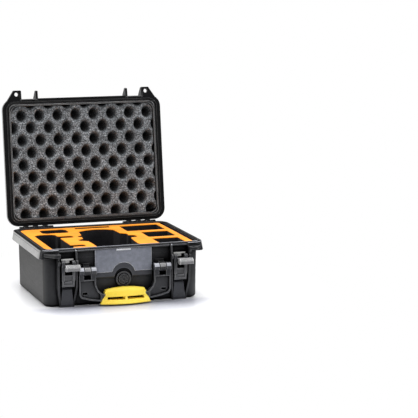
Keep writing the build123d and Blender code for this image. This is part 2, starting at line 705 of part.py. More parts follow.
def lid_shell():
    lid = lid_body()
    lid += roof_pressing()
    lid += both_sides(extrude_yz(FIN_SIDE, *INNER_FIN))
    lid += both_sides(extrude_yz(FIN_SIDE, *OUTER_FIN))
    lid += both_sides(extrude_xy(LID_PADLOCK_PLAN, LID_RIM + 1.1, LID_RIM + 7.0))
    lid -= both_sides(rod_z(PADLOCK_R, 95, 140, PADLOCK_X, PADLOCK_Y))
    lid += both_sides(lid_hinge())
    lid -= lid_cavity()
    # seal groove, then the catch bar holes
    lid -= seal_track(2.1, LID_RIM - 1, LID_RIM + 4.8)
    lid -= both_sides(catch_bar())
    return largest(lid)


def lid_seal():
    outline = RectangleRounded(2 * SEAL_X, 2 * SEAL_Y, SEAL_R)
    path = (Pos(0, 0, LID_RIM + 3.0) * outline).wire()
    return sweep(Plane(origin=path @ 0, z_dir=path % 0) * Circle(1.75), path=path)


def lid_foam():
    foam = tapered_block(
        (141.6, 107.5), LID_RIM + 4.4, (139.5, 105.5), LID_ROOF - 0.2, FOAM_R
    )
    return fillet(end_edges(foam, Axis.Z, -1), 7.0)


save("lid_shell", open_lid(lid_shell()))
save_pair("catch_bar", open_lid(catch_bar()))
save("lid_seal", open_lid(lid_seal()))
save("lid_foam", open_lid(lid_foam()))
save_pair("hinge_pin", rod_x(HINGE_PIN_R, HINGE_PIN_X0, HINGE_X1, HINGE_Y, HINGE_Z))
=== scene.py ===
"""A foam-lined carrying case, standing open on white paper.

The base stands on z = 0 with its latches and handle at the front (-Y). The lid hangs on a
hinge line along X at the back (+Y). The CAD supplies the hard parts, which get materials
here; the foam pieces and the hand grip are modelled anew. Outlines are in millimetres,
everything else in metres.
"""
import math

import bmesh
import bpy
from mathutils import Matrix, Vector, geometry, noise


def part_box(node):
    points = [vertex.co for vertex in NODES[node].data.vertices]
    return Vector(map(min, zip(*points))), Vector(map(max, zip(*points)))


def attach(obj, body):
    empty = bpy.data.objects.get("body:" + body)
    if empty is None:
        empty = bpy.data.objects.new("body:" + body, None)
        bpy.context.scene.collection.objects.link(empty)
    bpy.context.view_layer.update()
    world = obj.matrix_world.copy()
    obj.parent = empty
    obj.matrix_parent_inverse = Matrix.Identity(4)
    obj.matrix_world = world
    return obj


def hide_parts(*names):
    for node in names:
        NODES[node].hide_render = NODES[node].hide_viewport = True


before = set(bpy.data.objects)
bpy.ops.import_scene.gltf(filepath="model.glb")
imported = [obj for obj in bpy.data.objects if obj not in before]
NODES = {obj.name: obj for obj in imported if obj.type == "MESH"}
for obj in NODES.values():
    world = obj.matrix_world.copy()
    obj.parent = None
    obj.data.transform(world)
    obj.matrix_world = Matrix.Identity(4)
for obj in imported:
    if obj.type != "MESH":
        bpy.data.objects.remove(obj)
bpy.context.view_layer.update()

MM = 0.001
SCENE = bpy.context.scene
SCENE.view_settings.view_transform = "Standard"
SCENE.view_settings.look = "None"

# LID carries a point of the closed lid to its place on the open lid
HINGE = Vector((0.0, 0.1265, 0.1045))
OPEN_ANGLE = math.radians(-98.0)
LID = (Matrix.Translation(HINGE) @ Matrix.Rotation(OPEN_ANGLE, 4, "X")
       @ Matrix.Translation(-HINGE))


# =============================================================== materials
class Shader:
    """Builds a node material around one Principled shader, in object space (metres)."""

    def __init__(self, name):
        self.material = bpy.data.materials.new(name)
        self.material.use_nodes = True
        self.tree = self.material.node_tree
        self.tree.nodes.clear()
        self.output = self.new("ShaderNodeOutputMaterial")
        self.bsdf = self.new("ShaderNodeBsdfPrincipled")
        self.link(self.bsdf.outputs[0], self.output.inputs[0])
        self.place = self.new("ShaderNodeTexCoord").outputs["Object"]

    def new(self, kind, **props):
        node = self.tree.nodes.new(kind)
        for key, value in props.items():
            setattr(node, key, value)
        return node

    def link(self, source, target):
        self.tree.links.new(source, target)

    def put(self, socket, value):
        """Feeds a socket with a number, an RGB tuple or another node's output."""
        if isinstance(value, tuple):
            socket.default_value = (*value, 1)
        elif isinstance(value, (int, float)):
            socket.default_value = value
        else:
            self.link(value, socket)

    def set(self, name, value):
        self.put(self.bsdf.inputs[name], value)

    def mapped(self, scale):
        node = self.new("ShaderNodeMapping")
        node.inputs["Scale"].default_value = scale
        self.link(self.place, node.inputs["Vector"])
        return node.outputs[0]

    def noise(self, scale, detail=3.0, rough=0.5, distortion=0.0, stretch=None):
        node = self.new("ShaderNodeTexNoise")
        node.inputs["Scale"].default_value = scale
        node.inputs["Detail"].default_value = detail
        node.inputs["Roughness"].default_value = rough
        node.inputs["Distortion"].default_value = distortion
        self.link(self.mapped(stretch) if stretch else self.place, node.inputs["Vector"])
        return node.outputs["Fac"]

    def voronoi(self, scale, feature="F1"):
        node = self.new("ShaderNodeTexVoronoi", feature=feature)
        node.inputs["Scale"].default_value = scale
        self.link(self.place, node.inputs["Vector"])
        return node.outputs["Distance"]

    def math(self, operation, a, b, clamp=False):
        node = self.new("ShaderNodeMath", operation=operation, use_clamp=clamp)
        self.put(node.inputs[0], a)
        self.put(node.inputs[1], b)
        return node.outputs[0]

    def times(self, a, b, clamp=False):
        return self.math("MULTIPLY", a, b, clamp)

    def weighted(self, a, weight_a, b, weight_b):
        return self.math("ADD", self.times(a, weight_a), self.times(b, weight_b))

    def ramp(self, factor, stops):
        """stops: (position, grey level or RGB tuple)."""
        node = self.new("ShaderNodeValToRGB")
        elements = node.color_ramp.elements
        while len(elements) < len(stops):
            elements.new(0.5)
        for element, (position, color) in zip(elements, stops):
            element.position = position
            rgb = color if isinstance(color, tuple) else (color,) * 3
            element.color = (*rgb, 1)
        self.link(factor, node.inputs[0])
        return node.outputs[0]

    def smoothstep(self, value, start, end, low=0.0, high=1.0):
        """Eases from low at start to high at end; start may be the larger."""
        node = self.new("ShaderNodeMapRange", interpolation_type="SMOOTHSTEP")
        for name, number in (("From Min", start), ("From Max", end),
                             ("To Min", low), ("To Max", high)):
            node.inputs[name].default_value = number
        self.link(value, node.inputs["Value"])
        return node.outputs[0]

    def mix(self, factor, a, b, blend="MIX"):
        node = self.new("ShaderNodeMix", data_type="RGBA", blend_type=blend)
        # sockets 6 and 7 are the two colours
        for index, value in ((0, factor), (6, a), (7, b)):
            self.put(node.inputs[index], value)
        return node.outputs[2]

    def tint(self, color, by):
        return self.mix(1.0, color, by, "MULTIPLY")

    def bump(self, height, strength, distance, normal=None):
        node = self.new("ShaderNodeBump")
        node.inputs["Strength"].default_value = strength
        node.inputs["Distance"].default_value = distance
        self.link(height, node.inputs["Height"])
        if normal is not None:
            self.link(normal, node.inputs["Normal"])
        return node.outputs[0]

    def bevel(self, radius):
        node = self.new("ShaderNodeBevel", samples=6)
        node.inputs["Radius"].default_value = radius
        return node.outputs[0]

    def edge(self, reach):
        """0 on flats and in inner corners, towards 1 along outer edges within reach."""
        node = self.new("ShaderNodeAmbientOcclusion", samples=6, inside=True, only_local=True)
        node.inputs["Distance"].default_value = reach
        return self.math("SUBTRACT", 1.0, node.outputs["AO"], clamp=True)

    def cavity(self, reach):
        """1 in the open, falling where other surfaces crowd within reach."""
        node = self.new("ShaderNodeAmbientOcclusion", samples=6)
        node.inputs["Distance"].default_value = reach
        return node.outputs["AO"]


def scaled(color, factor, add=0.0):
    return tuple(min(1, channel * factor + add) for channel in color)


def resin(name, color, rough, edge_glint, grain=0.0005, relief=0.2, vary=0.18, round_edge=0.0005,
          specular=0.5, leather=False, edge_add=0.03, edge_reach=0.0016, recess=0.05):
    """Moulded resin with a fine grain, cloudy sheen and rounded edges, a painted highlight along
    its outer edges and painted shade in its recesses.

    grain is the grain size and relief its bump strength; leather gives it cell borders.
    edge_glint is how far outer edges lighten as painted highlight, by edge_add over edge_reach.
    recess is the brightness the painted shade leaves deep in recesses. vary is the cloudiness
    of the colour.
    """
    mat = Shader(name)
    big = mat.noise(scale=14.0, detail=4, rough=0.55)
    mid = mat.noise(scale=160.0, detail=4, rough=0.6)
    fine = mat.noise(scale=1.0 / grain, detail=3, rough=0.6)
    if leather:
        cells = mat.voronoi(scale=0.62 / grain, feature="DISTANCE_TO_EDGE")
    else:
        cells = mat.noise(scale=0.5 / grain, detail=2, rough=0.5)
    darker = tuple(channel * (1 - vary) for channel in color)
    cloud = mat.ramp(big, [(0.3, darker), (0.7, scaled(color, 1 + vary))])
    speck = mat.ramp(mid, [(0.35, 0.88), (0.65, 1.12)])
    tone = mat.tint(cloud, speck)
    # painted shade: recesses are darkened in colour and in sheen; open faces keep their sheen
    cavity_shade = mat.ramp(mat.cavity(reach=0.022), [(0.34, recess), (0.80, 1.0)])
    tone = mat.tint(tone, cavity_shade)
    # painted highlight: outer edges are lightened in patches, less so in recesses
    if edge_glint > 0:
        glint_mask = mat.ramp(mat.edge(edge_reach), [(0.10, 0.0), (0.42, 1.0)])
        patchy = mat.ramp(mat.noise(scale=240, detail=3, rough=0.6), [(0.3, 0.55), (0.6, 1.0)])
        glint_mask = mat.times(glint_mask, patchy)
        glint_mask = mat.times(glint_mask, mat.times(cavity_shade, edge_glint), clamp=True)
        tone = mat.mix(glint_mask, tone, scaled(color, 2.1, edge_add))
    mat.set("Base Color", tone)
    # long fine rub marks, only in the sheen
    rub = mat.noise(scale=60.0, detail=5, rough=0.7, distortion=0.6, stretch=(1.0, 1.0, 9.0))
    mat.set("Roughness", mat.ramp(rub, [(0.35, rough - 0.025), (0.62, rough + 0.04),
                                        (0.8, rough + 0.06)]))
    mat.set("Specular IOR Level", mat.times(cavity_shade, specular))
    height = mat.weighted(fine, 0.6, cells, 0.7)
    waviness = mat.bump(mat.noise(scale=55.0, detail=2, rough=0.5), strength=0.05,
                        distance=0.002, normal=mat.bevel(round_edge))
    mat.set("Normal", mat.bump(height, strength=relief, distance=0.00012, normal=waviness))
    return mat.material


def cut_foam(name, dark, light, cell, relief, rough, sheen, pits):
    """Cut foam with open cells in colour and in height; pits is how dark the pores are."""
    mat = Shader(name)
    grains = mat.noise(scale=1.0 / cell, detail=3, rough=0.65)
    cells = mat.voronoi(scale=0.8 / cell)
    patches = mat.noise(scale=26.0, detail=3, rough=0.5)
    speckle = mat.weighted(grains, 0.65, cells, 0.45)
    tone = mat.ramp(speckle, [(0.36, dark), (0.7, light)])
    tone = mat.tint(tone, mat.ramp(patches, [(0.3, 0.86), (0.7, 1.1)]))
    pores = mat.ramp(mat.voronoi(scale=0.33 / cell), [(0.06, 1.0 - pits), (0.2, 1.0)])
    mat.set("Base Color", mat.tint(tone, pores))
    mat.set("Roughness", rough)
    mat.set("Specular IOR Level", 0.2)
    mat.set("Sheen Weight", sheen)
    mat.set("Sheen Roughness", 0.5)
    height = mat.math("ADD", speckle, mat.times(pores, 0.5))
    mat.set("Normal", mat.bump(height, strength=relief, distance=0.0004))
    return mat.material


def brushed_steel(name):
    """Bare steel with fine streaks running along X."""
    mat = Shader(name)
    streak = mat.noise(scale=900.0, detail=3, rough=0.6, stretch=(0.06, 1.0, 1.0))
    mat.set("Base Color", mat.ramp(streak, [(0.3, (0.42, 0.43, 0.45)),
                                            (0.7, (0.62, 0.63, 0.65))]))
    mat.set("Metallic", 1.0)
    mat.set("Roughness", mat.ramp(streak, [(0.3, 0.26), (0.7, 0.4)]))
    mat.set("Normal", mat.bump(streak, strength=0.15, distance=0.00005,
                               normal=mat.bevel(0.0003)))
    return mat.material


def rubber(name, color, rough):
    mat = Shader(name)
    patches = mat.noise(scale=30.0, detail=4, rough=0.6)
    mat.set("Base Color", mat.ramp(patches, [(0.3, scaled(color, 0.85)),
                                             (0.7, scaled(color, 1.15))]))
    mat.set("Roughness", mat.ramp(mat.noise(scale=220.0, detail=4, rough=0.6),
                                  [(0.3, rough - 0.07), (0.7, rough + 0.07)]))
    mat.set("Specular IOR Level", 0.4)
    mat.set("Normal", mat.bump(mat.noise(scale=1.0 / 0.0006, detail=3, rough=0.6),
                               strength=0.2, distance=0.0001))
    return mat.material


def grey_foam(name):
    """Open-cell foam: coarse salt-and-pepper cells, with painted shade making it black deep in
    the hollows.
    """
    mat = Shader(name)
    cells = mat.voronoi(scale=760.0)
    fine = mat.noise(scale=1150.0, detail=3, rough=0.7)
    clump = mat.noise(scale=330.0, detail=3, rough=0.65)
    speckle = mat.math("ADD", mat.times(fine, 0.55), mat.weighted(clump, 0.35, cells, 0.22))
    tone = mat.ramp(speckle, [(0.42, (0.026, 0.028, 0.031)), (0.56, (0.140, 0.148, 0.158)),
                              (0.68, (0.50, 0.53, 0.56))])
    cloud = mat.ramp(mat.noise(scale=22.0, detail=3, rough=0.5), [(0.3, 0.85), (0.7, 1.12)])
    tone = mat.tint(tone, cloud)
    grains = mat.ramp(mat.noise(scale=400.0, detail=2, rough=0.5),
                      [(0.36, 0.55), (0.5, 0.95), (0.64, 1.6)])
    tone = mat.tint(tone, grains)
    # painted shade: a value stored on the lining, 0 on the peaks and 1 at the bottom of a
    # hollow, darkens the foam down into each hollow
    hollow_shade = mat.new("ShaderNodeAttribute", attribute_name="hollow_shade")
    shade = mat.ramp(hollow_shade.outputs["Fac"], [(0.0, 0.88), (0.1, 0.66), (0.35, 0.36),
                                          (0.7, 0.13), (1.0, 0.07)])
    mat.set("Base Color", mat.tint(tone, shade))
    mat.set("Roughness", 1.0)
    mat.set("Specular IOR Level", 0.08)
    mat.set("Sheen Weight", 0.08)
    mat.set("Normal", mat.bump(speckle, strength=1.0, distance=0.0005))
    return mat.material


def soft_touch(name):
    """Satin yellow over-mould with a faint dimple, darker marks and a painted highlight along
    its edges.
    """
    mat = Shader(name)
    patches = mat.noise(scale=22.0, detail=4, rough=0.6)
    tone = mat.ramp(patches, [(0.3, (1.0, 0.68, 0.045)), (0.7, (1.0, 0.74, 0.075))])
    marks = mat.noise(scale=130.0, detail=5, rough=0.7)
    # painted highlight: outer edges lightened towards a paler yellow
    grip_glint = mat.times(mat.edge(reach=0.0016), 1.6, clamp=True)
    tone = mat.mix(grip_glint, tone, (1.0, 0.78, 0.12))
    tone = mat.tint(tone, mat.ramp(marks, [(0.25, 0.9), (0.5, 1.0)]))
    mat.set("Base Color", tone)
    mat.set("Roughness", mat.ramp(mat.noise(scale=300.0, detail=3, rough=0.6),
                                  [(0.3, 0.36), (0.7, 0.5)]))
    mat.set("Specular IOR Level", 0.45)
    mat.set("Subsurface Weight", 0.06)
    height = mat.weighted(mat.noise(scale=1700.0, detail=2, rough=0.5), 0.6,
                          mat.voronoi(scale=900.0), 0.5)
    mat.set("Normal", mat.bump(height, strength=0.12, distance=0.0001,
                               normal=mat.bevel(0.0005)))
    return mat.material


SHELL = resin("shell_resin", (0.0130, 0.0136, 0.0158), rough=0.46, grain=0.0008, relief=0.45,
              leather=True, edge_glint=0.9, specular=0.40, edge_add=0.085)
LATCH = resin("latch_resin", (0.022, 0.023, 0.027), rough=0.33, relief=0.25, edge_glint=1.0,
              edge_add=0.13)
# painted light: the claws' light grey stands in for the reflection they catch
CLAW_LIT = resin("claw_painted_light", (0.17, 0.17, 0.175), rough=0.32, edge_glint=1.0, edge_add=0.30)
# painted light: a lighter, warmer copy of the shell for the lit left side wall
WALL_LIT = resin("side_resin", (0.0180, 0.0178, 0.0172), rough=0.5, grain=0.0009, relief=0.8,
             leather=True, edge_glint=0.3, vary=0.30, specular=0.27)
# painted shade: a darker, duller copy of the shell for the rim's top and the lid rim's underside
RIM_SHADE = resin("rim_painted_shade", (0.0045, 0.0047, 0.0055), rough=0.75, grain=0.0008, relief=0.3,
            leather=True, edge_glint=0.6, specular=0.12, edge_add=0.16, edge_reach=0.0010)
# painted highlight: a pale copy of the shell for rim and edge faces that catch the light
EDGE = resin("edge_painted_highlight", (0.36, 0.37, 0.41), rough=0.3, relief=0.1, edge_glint=0.0,
             recess=0.7)
# painted highlight: a pale copy of the shell for the band along the top of the left side
BAND_HIGHLIGHT = resin("rim_band_painted_highlight", (0.27, 0.27, 0.265), rough=0.3, grain=0.0007, relief=0.25,
             edge_glint=0.4, specular=0.7, recess=0.2)
# painted highlight: a near-white copy of the shell for the lit faces of the front bosses
BOSS_HIGHLIGHT = resin("boss_painted_highlight", (0.80, 0.80, 0.79), rough=0.35, relief=0.15, edge_glint=0.0, recess=0.5)
# painted highlight: a pale copy of the panel for its edges and sides
TRIM_HIGHLIGHT = resin("panel_edge_painted_highlight", (0.62, 0.64, 0.70), rough=0.3, relief=0.05, edge_glint=0.0,
             recess=0.6)
# painted highlight: a lighter copy of the shell for the sloping knuckle tops
KNUCKLE_HIGHLIGHT = resin("knuckle_painted_highlight", (0.19, 0.19, 0.195), rough=0.33, edge_glint=0.6, edge_add=0.2,
                recess=0.2)
# painted light: a lighter copy of the shell for the lit left side of the lid
LID_SIDE_LIT = resin("lid_side_painted_light", (0.22, 0.22, 0.22), rough=0.4, grain=0.0008, relief=0.4,
                 leather=True, edge_glint=0.3, recess=0.4)
# painted light: a lighter copy of the shell for front plates that catch the light
PLATE_LIT = resin("bay_plate_painted_light", (0.040, 0.042, 0.050), rough=0.4, grain=0.0008, relief=0.4,
              leather=True, edge_glint=0.6, edge_add=0.06, recess=0.2)
# painted light: a lighter copy of the latch resin for the lower front of the levers
LEVER_LIT = resin("lever_plate_painted_light", (0.058, 0.059, 0.063), rough=0.34, relief=0.25, edge_glint=0.8,
              edge_add=0.10, recess=0.2)
PANEL = resin("panel_resin", (0.205, 0.217, 0.258), rough=0.34, grain=0.0007, relief=0.12,
              edge_glint=1.0, vary=0.10, round_edge=0.0006, edge_add=0.55, edge_reach=0.0010,
              recess=0.3)
BAR = resin("pale_inlay", (0.84, 0.85, 0.88), rough=0.3, grain=0.0004, relief=0.06, edge_glint=0.0,
            vary=0.03)
VALVE = resin("valve_resin", (0.008, 0.0085, 0.010), rough=0.3, grain=0.0004, relief=0.15,
              edge_glint=1.0, round_edge=0.0004, edge_add=0.11, recess=0.12)
# painted highlight: a strong light line along the edges of the lid's inner lip
LIP_HIGHLIGHT = resin("lid_lip_painted_highlight", (0.006, 0.0065, 0.0085), rough=0.3, grain=0.0006, relief=0.12,
            edge_glint=1.0, vary=0.1, edge_add=0.42, edge_reach=0.0013)
AMBER_FOAM = cut_foam("amber_foam", dark=(0.80, 0.250, 0.0055), light=(0.96, 0.326, 0.0080),
                      cell=0.0008, relief=0.35, rough=0.85, sheen=0.08, pits=0.10)
BLACK_FOAM = cut_foam("black_foam", dark=(0.0035, 0.0035, 0.004), light=(0.016, 0.016, 0.019),
                      cell=0.0009, relief=0.7, rough=0.95, sheen=0.02, pits=0.35)
SEAL = rubber("seal_rubber", (0.006, 0.006, 0.007), rough=0.42)
STEEL = brushed_steel("steel_pin")
DARK_STEEL = resin("blackened_steel", (0.03, 0.031, 0.034), rough=0.32, grain=0.0004,
                   relief=0.1, edge_glint=0.8, round_edge=0.0003)
MEMBRANE = rubber("membrane", (0.7, 0.7, 0.7), rough=0.7)
GREY_FOAM = grey_foam("grey_foam")
GRIP = soft_touch("yellow_grip")

CAD_MATERIALS = {
    "base_shell": SHELL, "lid_shell": SHELL, "name_panel": PANEL, "badge_bar": BAR,
    "valve_body": VALVE, "valve_cap": VALVE, "valve_membrane": MEMBRANE, "valve_seal": SEAL,
    "valve_nut": VALVE, "lid_seal": SEAL, "handle_frame": LATCH, "foam_core": BLACK_FOAM,
    "foam_top_sheet": AMBER_FOAM, "lid_foam": GREY_FOAM, "handle_grip": GRIP,
}
for side in ("left", "right"):
    for part, material in (
        ("latch_lever", LATCH), ("latch_claw", CLAW_LIT), ("hinge_pin", STEEL),
        ("catch_bar", DARK_STEEL), ("claw_pin", DARK_STEEL), ("lever_pins", DARK_STEEL),
        ("handle_pin", DARK_STEEL),
    ):
        CAD_MATERIALS[side + "_" + part] = material
for name, node in NODES.items():
    node.data.materials.clear()
    node.data.materials.append(CAD_MATERIALS[name])


def paint(obj, rules, pose=Matrix.Identity(4)):
    """Changes the finish face by face.

    rules: (material, test(face centre, outward normal)), in metres; the first match wins.
    pose is applied to the world place of each face before the tests.
    """
    mesh = obj.data
    first = len(mesh.materials)
    for material, _ in rules:
        mesh.materials.append(material)
    place = pose @ obj.matrix_world
    turn = place.to_3x3()
    for face in mesh.polygons:
        at, out = place @ face.center, (turn @ face.normal).normalized()
        for i, (_, test) in enumerate(rules):
            if test(at, out):
                face.material_index = first + i
                break


# the lid is tested as if closed
paint(NODES["lid_shell"], [
    # painted highlight along the edges of the downward ledge inside the rim
    (LIP_HIGHLIGHT, lambda at, out: abs(at.z - 0.1063) < 0.0007 and out.z < -0.6
     and abs(at.x) < 0.1452 and abs(at.y) < 0.1112),
    # painted shade on the rest of the rim's underside
    (RIM_SHADE, lambda at, out: at.z < 0.1085 and out.z < -0.4),
    # painted light on the left side wall
    (LID_SIDE_LIT, lambda at, out: at.x < -0.150 and out.x < -0.6 and at.z > 0.1085),
], LID.inverted())
paint(NODES["base_shell"], [
    # painted highlight on the highest faces of the rim, along the front
    (EDGE, lambda at, out: at.y < -0.110 and at.z > 0.1064 and abs(at.x) < 0.15),
    # painted highlight on sloping rim faces, at the front and on the right
    (EDGE, lambda at, out: at.z > 0.1052 and 0.3 < out.z < 0.9
     and (at.y < -0.112 or at.x > 0.14)),
    # painted highlight on upward faces just below the rim, at the front
    (EDGE, lambda at, out: at.y < -0.116 and 0.1028 < at.z < 0.1040 and out.z > 0.5),
    # painted shade on the rest of the rim's top
    (RIM_SHADE, lambda at, out: at.z > 0.1045 and out.z > 0.3),
    # painted highlight on a pair of bosses on the front
    (BOSS_HIGHLIGHT, lambda at, out: 0.094 < abs(at.x) < 0.117 and 0.0805 < at.z < 0.0895
     and -0.1186 < at.y < -0.1168 and (out.y < -0.8 or out.z > 0.8)),
    # painted highlight on the sloping tops of the front knuckles
    (KNUCKLE_HIGHLIGHT, lambda at, out: 0.064 < abs(at.x) < 0.077 and at.z > 0.066 and at.y < -0.1235
     and 0.12 < out.z < 0.9 and out.y < -0.3),
    # painted light on a pair of low plates on the front
    (PLATE_LIT, lambda at, out: 0.096 < abs(at.x) < 0.116 and at.z < 0.0365 and at.y < -0.1105
     and out.y < -0.6),
    # painted light on the plate in the middle of the front
    (PLATE_LIT, lambda at, out: out.y < -0.9 and -0.1146 < at.y < -0.1134 and abs(at.x) < 0.056
     and 0.05 < at.z < 0.101),
    # painted highlight on the band along the top of the left side, then painted light on the
    # wall below it
    (BAND_HIGHLIGHT, lambda at, out: at.x < -0.150 and out.x < -0.93 and 0.087 < at.z < 0.1057),
    (WALL_LIT, lambda at, out: at.x < -0.1435 and out.x < -0.8 and at.z < 0.087),
])
for side in ("left", "right"):
    # painted light on the lower front of the lever
    paint(NODES[side + "_latch_lever"], [(LEVER_LIT, lambda at, out: out.y < -0.7 and at.z < 0.068)])
# painted highlight on everything but the panel's front face
paint(NODES["name_panel"], [(TRIM_HIGHLIGHT, lambda at, out: out.y > -0.95)])
# painted highlight on the sloping tops of the handle frame
paint(NODES["handle_frame"], [
    (EDGE, lambda at, out: at.z > 0.066 and 0.12 < out.z < 0.9 and out.y < -0.3),
])


# ============================================================ mesh helpers
def new_object(name, points, faces, material, sharp_angle):
    """A smooth-shaded object whose creases steeper than sharp_angle (degrees) stay sharp."""
    mesh = bpy.data.meshes.new(name)
    mesh.from_pydata(points, [], faces)
    mesh.validate()
    mesh.update()
    for face in mesh.polygons:
        face.use_smooth = True
    mesh.set_sharp_from_angle(angle=math.radians(sharp_angle))
    obj = bpy.data.objects.new(name, mesh)
    SCENE.collection.objects.link(obj)
    mesh.materials.append(material)
    return obj


def clean_up(obj):
    """Merges coincident points and turns all faces outwards."""
    mesh = bmesh.new()
    mesh.from_mesh(obj.data)
    bmesh.ops.remove_doubles(mesh, verts=mesh.verts, dist=1e-7)
    bmesh.ops.recalc_face_normals(mesh, faces=mesh.faces)
    mesh.to_mesh(obj.data)
    mesh.free()
    obj.data.update()


def hand_over(obj, piece, group):
    """Hides the CAD piece that obj stands in for and attaches obj to the body it moves with."""
    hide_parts(piece)
    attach(obj, group)


# Outlines are closed counter-clockwise lists of (x, y) in mm.
def neighbours(loop):
    """Each point of a closed loop as (the one before, itself, the one after)."""
    loop = [Vector(point) for point in loop]
    return zip(loop[-1:] + loop[:-1], loop, loop[1:] + loop[:1])


def fillet(loop, radius, steps):
    """Rounds each corner with up to radius; near-straight corners stay."""
    rounded = []
    for before, corner, after in neighbours(loop):
        back, ahead = before - corner, after - corner
        back_length, ahead_length = back.length, ahead.length
        back.normalize()
        ahead.normalize()
        angle = math.acos(max(-1, min(1, back.dot(ahead))))
        if angle > math.radians(172):
            rounded.append((corner.x, corner.y))
            continue
        cut = min(radius / math.tan(angle / 2), 0.45 * back_length, 0.45 * ahead_length)
        fitted = cut * math.tan(angle / 2)
        centre = corner + (back + ahead).normalized() * (fitted / math.sin(angle / 2))
        first = corner + back * cut - centre
        last = corner + ahead * cut - centre
        start = math.atan2(first.y, first.x)
        sweep = math.atan2(last.y, last.x) - start
        sweep = (sweep + math.pi) % (2 * math.pi) - math.pi
        for k in range(steps + 1):
            turn = start + sweep * k / steps
            rounded.append((centre.x + fitted * math.cos(turn),
                            centre.y + fitted * math.sin(turn)))
    return rounded


def resample(loop, step=3.0):
    """Adds points on long sides; keeps the corners."""
    points = []
    for _, start, end in neighbours(loop):
        length = (end - start).length
        if length < 1e-6:
            continue
        count = max(1, int(round(length / step)))
        for j in range(count):
            point = start.lerp(end, j / count)
            points.append((point.x, point.y))
    return points


def dedupe(loop, gap=0.02):
    """Drops points that lie within gap of the one kept before them."""
    kept = []
    for point in loop:
        if not kept or math.dist(point, kept[-1]) > gap:
            kept.append(point)
    if math.dist(kept[0], kept[-1]) <= gap:
        kept.pop()
    return kept


def offset(loop, distance):
    """Moves a loop outwards, with limited mitres."""
    moved = []
    for before, point, after in neighbours(loop):
        edge_in, edge_out = point - before, after - point
        if edge_in.length < 1e-9 or edge_out.length < 1e-9:
            moved.append((point.x, point.y))
            continue
        edge_in.normalize()
        edge_out.normalize()
        normal_in = Vector((edge_in.y, -edge_in.x))
        normal = normal_in + Vector((edge_out.y, -edge_out.x))
        if normal.length < 1e-6:
            normal = normal_in
        normal = normal.normalized()
        reach = distance / max(0.5, normal.dot(normal_in))
        moved.append((point.x + normal.x * reach, point.y + normal.y * reach))
    return moved


def rounded_box(half_x, half_y, radius, steps, centre_x=0.0, centre_y=0.0):
    points = []
    for side_x, side_y, start in ((1, -1, -90), (1, 1, 0), (-1, 1, 90), (-1, -1, 180)):
        x = centre_x + side_x * (half_x - radius)
        y = centre_y + side_y * (half_y - radius)
        for k in range(steps + 1):
            turn = math.radians(start + 90 * k / steps)
            points.append((x + radius * math.cos(turn), y + radius * math.sin(turn)))
    return points


def wavy(loop, seed, amount=0.35, frequency=0.05):
    """A hand-guided cut line: a fraction of a millimetre of wander."""
    moved = []
    for (x, y), (before, _, after) in zip(loop, neighbours(loop)):
        along = after - before
        along = along.normalized() if along.length > 1e-9 else Vector((1, 0))
        shift = noise.noise(Vector((x * frequency, y * frequency, seed))) * amount
        moved.append((x + along.y * shift, y - along.x * shift))
    return moved


class RingMesh:
    """Collects level rings of points, given in mm, and the faces between them."""

    def __init__(self):
        self.points, self.faces = [], []

    def ring(self, loop, z):
        start = len(self.points)
        self.points += [(x * MM, y * MM, z * MM) for x, y in loop]
        return list(range(start, len(self.points)))

    def band(self, a, b):
        for i in range(len(a)):
            j = (i + 1) % len(a)
            self.faces.append((a[i], a[j], b[j], b[i]))

    def cap(self, rings, flip=False):
        """rings: (loop, point numbers), the outline first and then its holes."""
        numbers = [number for _, ring in rings for number in ring]
        loops = [[Vector((x, y, 0)) for x, y in loop] for loop, _ in rings]
        for triangle in geometry.tessellate_polygon(loops):
            face = tuple(numbers[i] for i in triangle)
            self.faces.append(face[::-1] if flip else face)


ROUND_STEPS = 3     # steps in each rounded rim and floor corner
WALL_STEP = 12.0    # least height between the wavy rings of a hole's wall
FLOOR_RADIUS = 2.0


def slab(name, outer, holes, floors, top, bottom, lip, outer_lip, material):
    """A cut foam sheet or block. Hole rims are rounded by lip, the outline by outer_lip.

    floors gives each hole its floor height; None means the hole goes right through.
    """
    mesh = RingMesh()
    tops = []

    def rim(loop, radius, is_hole):
        side = 1 if is_hole else -1
        flat = offset(loop, side * radius)
        last = mesh.ring(flat, top)
        tops.append((flat, last))
        for k in range(1, ROUND_STEPS + 1):
            turn = math.pi / 2 * k / ROUND_STEPS
            ring = mesh.ring(offset(loop, side * (radius - radius * math.sin(turn))),
                             top - radius + radius * math.cos(turn))
            mesh.band(*((last, ring) if is_hole else (ring, last)))
            last = ring
        return last

    last = rim(outer, outer_lip, False)
    lowest = mesh.ring(outer, bottom)
    mesh.band(lowest, last)
    bottoms = [(outer, lowest)]
    for loop, floor in zip(holes, floors):
        last = rim(loop, lip, True)

        def wall_down(shape, z):
            ring = mesh.ring(shape, z)
            mesh.band(last, ring)
            return ring

        span = top - lip - (bottom if floor is None else floor)
        count = max(1, int(span / WALL_STEP))
        for k in range(1, count):
            z = top - lip - span * k / count
            last = wall_down(wavy(loop, seed=z * 0.07), z)
        if floor is None:
            last = wall_down(loop, bottom)
            bottoms.append((loop, last))
            continue
        last = wall_down(loop, floor + FLOOR_RADIUS)
        for k in range(1, ROUND_STEPS + 1):
            turn = math.pi / 2 * k / ROUND_STEPS
            last = wall_down(offset(loop, -FLOOR_RADIUS * (1 - math.cos(turn))),
                             floor + FLOOR_RADIUS - FLOOR_RADIUS * math.sin(turn))
        mesh.cap([(offset(loop, -FLOOR_RADIUS), last)])
    mesh.cap(tops)
    mesh.cap(bottoms, flip=True)
    obj = new_object(name, mesh.points, mesh.faces, material, sharp_angle=50.0)
    clean_up(obj)
    return obj


